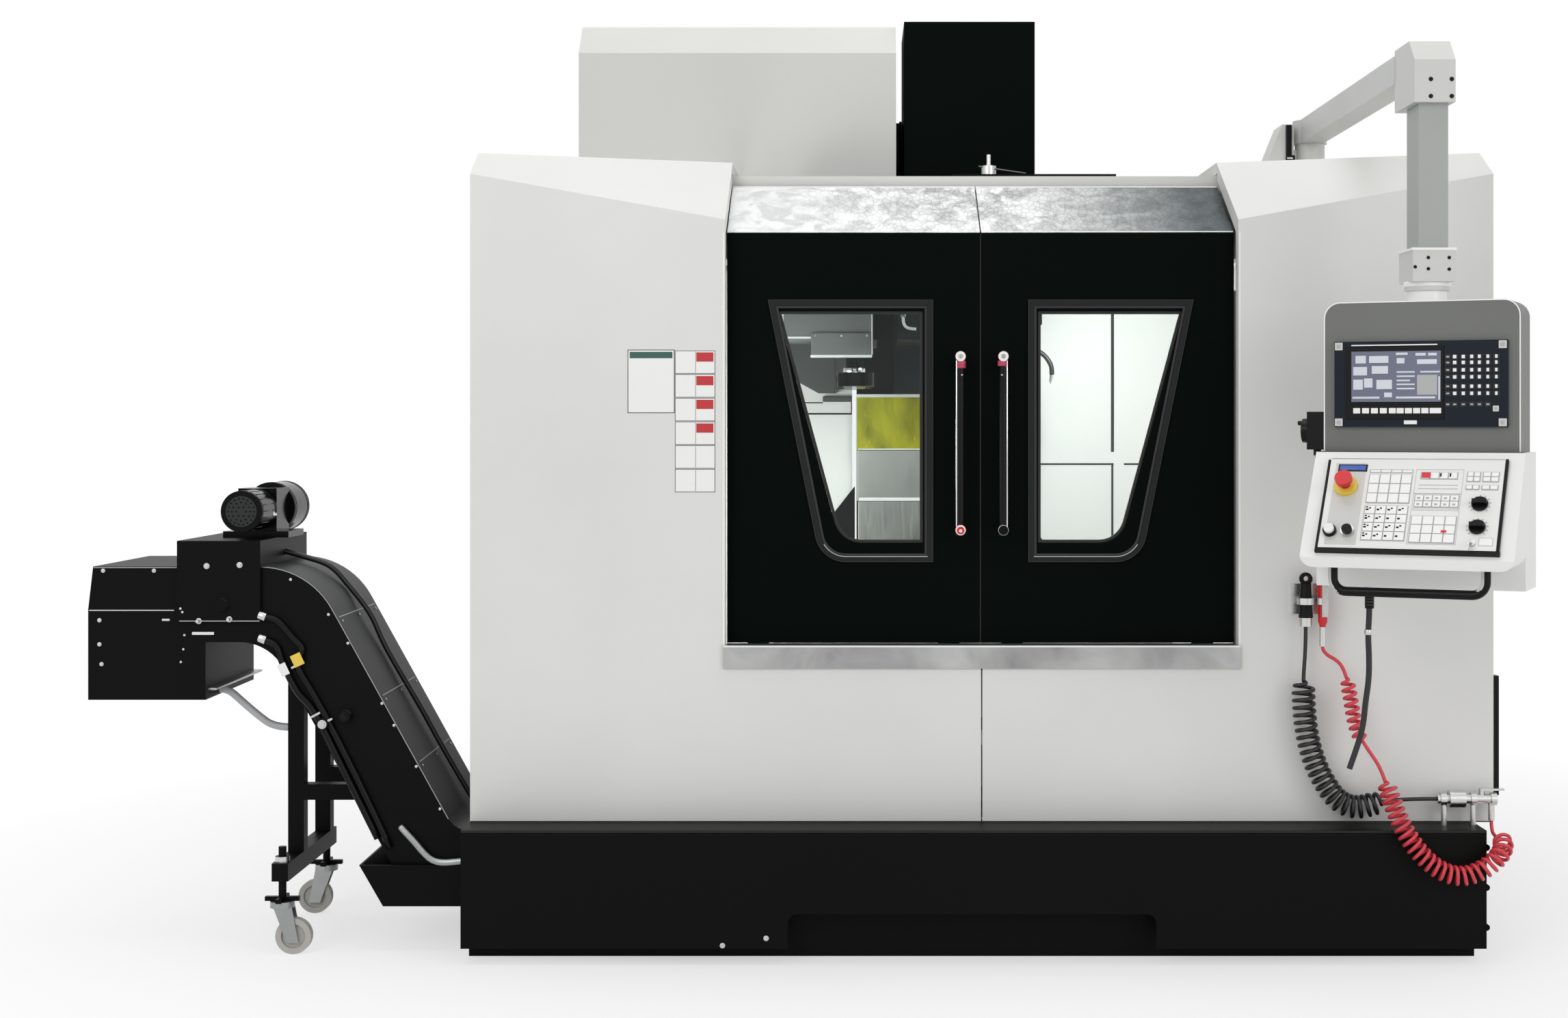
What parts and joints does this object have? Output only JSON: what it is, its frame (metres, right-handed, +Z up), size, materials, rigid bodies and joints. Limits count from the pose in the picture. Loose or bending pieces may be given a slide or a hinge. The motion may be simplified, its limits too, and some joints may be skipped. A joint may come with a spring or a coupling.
{
  "type": "vertical machining centre",
  "caption": "Enclosed vertical machining centre with sliding window doors, swing-arm control pendant, tool magazine, chip conveyor and hanging coolant and air guns.",
  "frame": {"origin": "on the floor, at the centre of the four anchor holes of the bed", "axes": "+X to the operator's right, +Y towards the rear, +Z up"},
  "size_m": [3.9765, 2.7034, 2.762],
  "materials": {
    "cover_white": "semi-gloss powder coat",
    "black_paint": "textured powder coat",
    "stainless": "brushed",
    "bare_steel": "ground",
    "cast_iron": "painted casting",
    "dark_casting": "painted casting",
    "light_grey": "semi-gloss powder coat",
    "head_grey": "semi-gloss enamel",
    "case_grey": "fine textured moulding",
    "glass": "clear laminated",
    "belt_steel": "oiled",
    "pendant_white": "semi-gloss moulding",
    "panel_black": "matte",
    "panel_grey": "matte",
    "red_plastic": "gloss",
    "white_plastic": "gloss",
    "black_plastic": "gloss",
    "hose_black": "satin",
    "hose_red": "gloss",
    "hose_clear": "satin",
    "wheel_grey": "satin"
  },
  "bodies": {
    "machine": {"side_cover_left": "cover_white", "side_cover_right": "cover_white", "base_skirt": "black_paint", "machine_bed": "cast_iron", "levelling_feet": "bare_steel", "column": "dark_casting", "door_sill": "stainless", "roof_beam": "cover_white", "cabin_liner": "cover_white", "magazine_cover": "light_grey", "tool_changer": "head_grey", "electrical_cabinet": "cover_white", "arm_base": "light_grey", "wash_gun": "black_plastic", "air_gun": "red_plastic", "gun_holder": "stainless", "air_manifold": "bare_steel", "conveyor_trough": "black_paint", "conveyor_belt": "belt_steel", "gear_motor": "black_paint", "conveyor_frame": "black_paint", "drain_hose": "hose_clear", "wash_hose": "hose_black", "air_hose": "hose_red"},
    "door_left": {"door_left": "black_paint", "window_left": "glass", "handle_left": "black_plastic"},
    "door_right": {"door_right": "black_paint", "window_right": "glass", "handle_right": "black_plastic"},
    "head": {"spindle_head": "head_grey", "head_cover": "black_paint", "way_shield_upper": "stainless"},
    "spindle": {"spindle": "bare_steel"},
    "shield_middle": {"way_shield_middle": "stainless"},
    "shield_lower": {"way_shield_lower": "stainless"},
    "saddle": {"saddle": "cast_iron"},
    "table": {"table": "bare_steel"},
    "magazine": {"magazine_disc": "bare_steel"},
    "changer_arm": {"tool_change_arm": "bare_steel"},
    "cabinet_door": {"cabinet_door": "cover_white"},
    "boom": {"boom_arm": "light_grey"},
    "pendant": {"pendant_case": "case_grey", "screen_unit": "panel_black", "pendant_console": "pendant_white", "operator_panel": "panel_grey", "pendant_cable": "hose_black"},
    "handwheel": {"handwheel": "black_plastic"},
    "emergency_stop": {"emergency_stop": "red_plastic"},
    "start_button": {"start_button": "white_plastic"},
    "hold_button": {"hold_button": "black_plastic"},
    "feed_knob": {"feed_knob": "black_plastic"},
    "speed_knob": {"speed_knob": "black_plastic"},
    "air_gun_lever": {"air_gun_lever": "bare_steel"},
    "valve_lever": {"valve_lever": "bare_steel"},
    "belt_drive": {"drive_shaft": "bare_steel"},
    "fork_front": {"caster_fork_front": "bare_steel"},
    "wheel_front": {"caster_wheel_front": "wheel_grey"},
    "fork_rear": {"caster_fork_rear": "bare_steel"},
    "wheel_rear": {"caster_wheel_rear": "wheel_grey"}
  },
  "joints": [
    {"name": "door_left_slide", "type": "slide", "parent": "machine", "child": "door_left", "axis": [-1, 0, 0], "range_m": [0, 0.63]},
    {"name": "door_right_slide", "type": "slide", "parent": "machine", "child": "door_right", "axis": [1, 0, 0], "range_m": [0, 0.63]},
    {"name": "saddle_y", "type": "slide", "parent": "machine", "child": "saddle", "axis": [0, 1, 0], "range_m": [-0.28, 0.19]},
    {"name": "table_x", "type": "slide", "parent": "saddle", "child": "table", "axis": [1, 0, 0], "range_m": [-0.34, 0.34]},
    {"name": "head_z", "type": "slide", "parent": "machine", "child": "head", "axis": [0, 0, 1], "range_m": [-0.51, 0]},
    {"name": "shield_middle_z", "type": "slide", "parent": "machine", "child": "shield_middle", "axis": [0, 0, 1], "range_m": [-0.3401, 0]},
    {"name": "shield_lower_z", "type": "slide", "parent": "machine", "child": "shield_lower", "axis": [0, 0, 1], "range_m": [-0.1701, 0]},
    {"name": "spindle_turn", "type": "hinge", "parent": "head", "child": "spindle", "pos_m": [-0.06, -0.5, 1.9], "axis": [0, 0, 1], "continuous": true},
    {"name": "magazine_turn", "type": "hinge", "parent": "machine", "child": "magazine", "pos_m": [-0.726, -0.3, 2.26], "axis": [0, 1, 0], "continuous": true},
    {"name": "changer_arm_turn", "type": "hinge", "parent": "machine", "child": "changer_arm", "pos_m": [-0.357, -0.5, 1.62], "axis": [0, 0, 1], "range_deg": [0, 180]},
    {"name": "boom_swing", "type": "hinge", "parent": "machine", "child": "boom", "pos_m": [1.122, -0.22, 2.395], "axis": [0, 0, 1], "range_deg": [-10, 90]},
    {"name": "pendant_swivel", "type": "hinge", "parent": "boom", "child": "pendant", "pos_m": [1.141, -1.62, 1.835], "axis": [0, 0, 1], "range_deg": [-45, 45]},
    {"name": "emergency_stop_press", "type": "slide", "parent": "pendant", "child": "emergency_stop", "axis": [0.3447, 0.7392, -0.5786], "range_m": [0, 0.006], "stiffness_N_per_m": 800, "springref_m": -0.002},
    {"name": "start_press", "type": "slide", "parent": "pendant", "child": "start_button", "axis": [0.3447, 0.7392, -0.5786], "range_m": [0, 0.004], "stiffness_N_per_m": 400, "springref_m": -0.002},
    {"name": "hold_press", "type": "slide", "parent": "pendant", "child": "hold_button", "axis": [0.3447, 0.7392, -0.5786], "range_m": [0, 0.004], "stiffness_N_per_m": 400, "springref_m": -0.002},
    {"name": "feed_knob_turn", "type": "hinge", "parent": "pendant", "child": "feed_knob", "pos_m": [1.20435, -1.88403, 1.28713], "axis": [-0.3447, -0.7392, 0.5786], "range_deg": [-135, 135]},
    {"name": "speed_knob_turn", "type": "hinge", "parent": "pendant", "child": "speed_knob", "pos_m": [1.18748, -1.92022, 1.23085], "axis": [-0.3447, -0.7392, 0.5786], "range_deg": [-135, 135]},
    {"name": "handwheel_turn", "type": "hinge", "parent": "pendant", "child": "handwheel", "pos_m": [0.85827, -1.51574, 1.47], "axis": [-0.9063, 0.4226, 0], "continuous": true},
    {"name": "air_gun_press", "type": "hinge", "parent": "machine", "child": "air_gun_lever", "pos_m": [0.947, -1.2753, 1.042], "axis": [1, 0, 0], "range_deg": [0, 8], "stiffness_Nm_per_rad": 1, "springref_deg": -2.86},
    {"name": "valve_turn", "type": "hinge", "parent": "machine", "child": "valve_lever", "pos_m": [1.39, -1.245, 0.466], "axis": [0, 0, 1], "range_deg": [-90, 0]},
    {"name": "cabinet_door_swing", "type": "hinge", "parent": "machine", "child": "cabinet_door", "pos_m": [1.324, 0.5903, 1.185], "axis": [0, 0, -1], "range_deg": [0, 110]},
    {"name": "belt_drive_turn", "type": "hinge", "parent": "machine", "child": "belt_drive", "pos_m": [-2.14, -0.91, 0.978], "axis": [0, 1, 0], "continuous": true},
    {"name": "front_fork_swivel", "type": "hinge", "parent": "machine", "child": "fork_front", "pos_m": [-1.965, -1.19, 0.148], "axis": [0, 0, 1], "continuous": true},
    {"name": "front_wheel_roll", "type": "hinge", "parent": "fork_front", "child": "wheel_front", "pos_m": [-1.932, -1.19, 0.05], "axis": [0, 1, 0], "continuous": true},
    {"name": "rear_fork_swivel", "type": "hinge", "parent": "machine", "child": "fork_rear", "pos_m": [-1.965, -0.67, 0.148], "axis": [0, 0, 1], "continuous": true},
    {"name": "rear_wheel_roll", "type": "hinge", "parent": "fork_rear", "child": "wheel_rear", "pos_m": [-1.998, -0.67, 0.05], "axis": [0, 1, 0], "continuous": true}
  ],
  "couplings": [
    {"joint": "shield_middle_z", "follows": "head_z", "ratio": 0.66667},
    {"joint": "shield_lower_z", "follows": "head_z", "ratio": 0.33333}
  ]
}
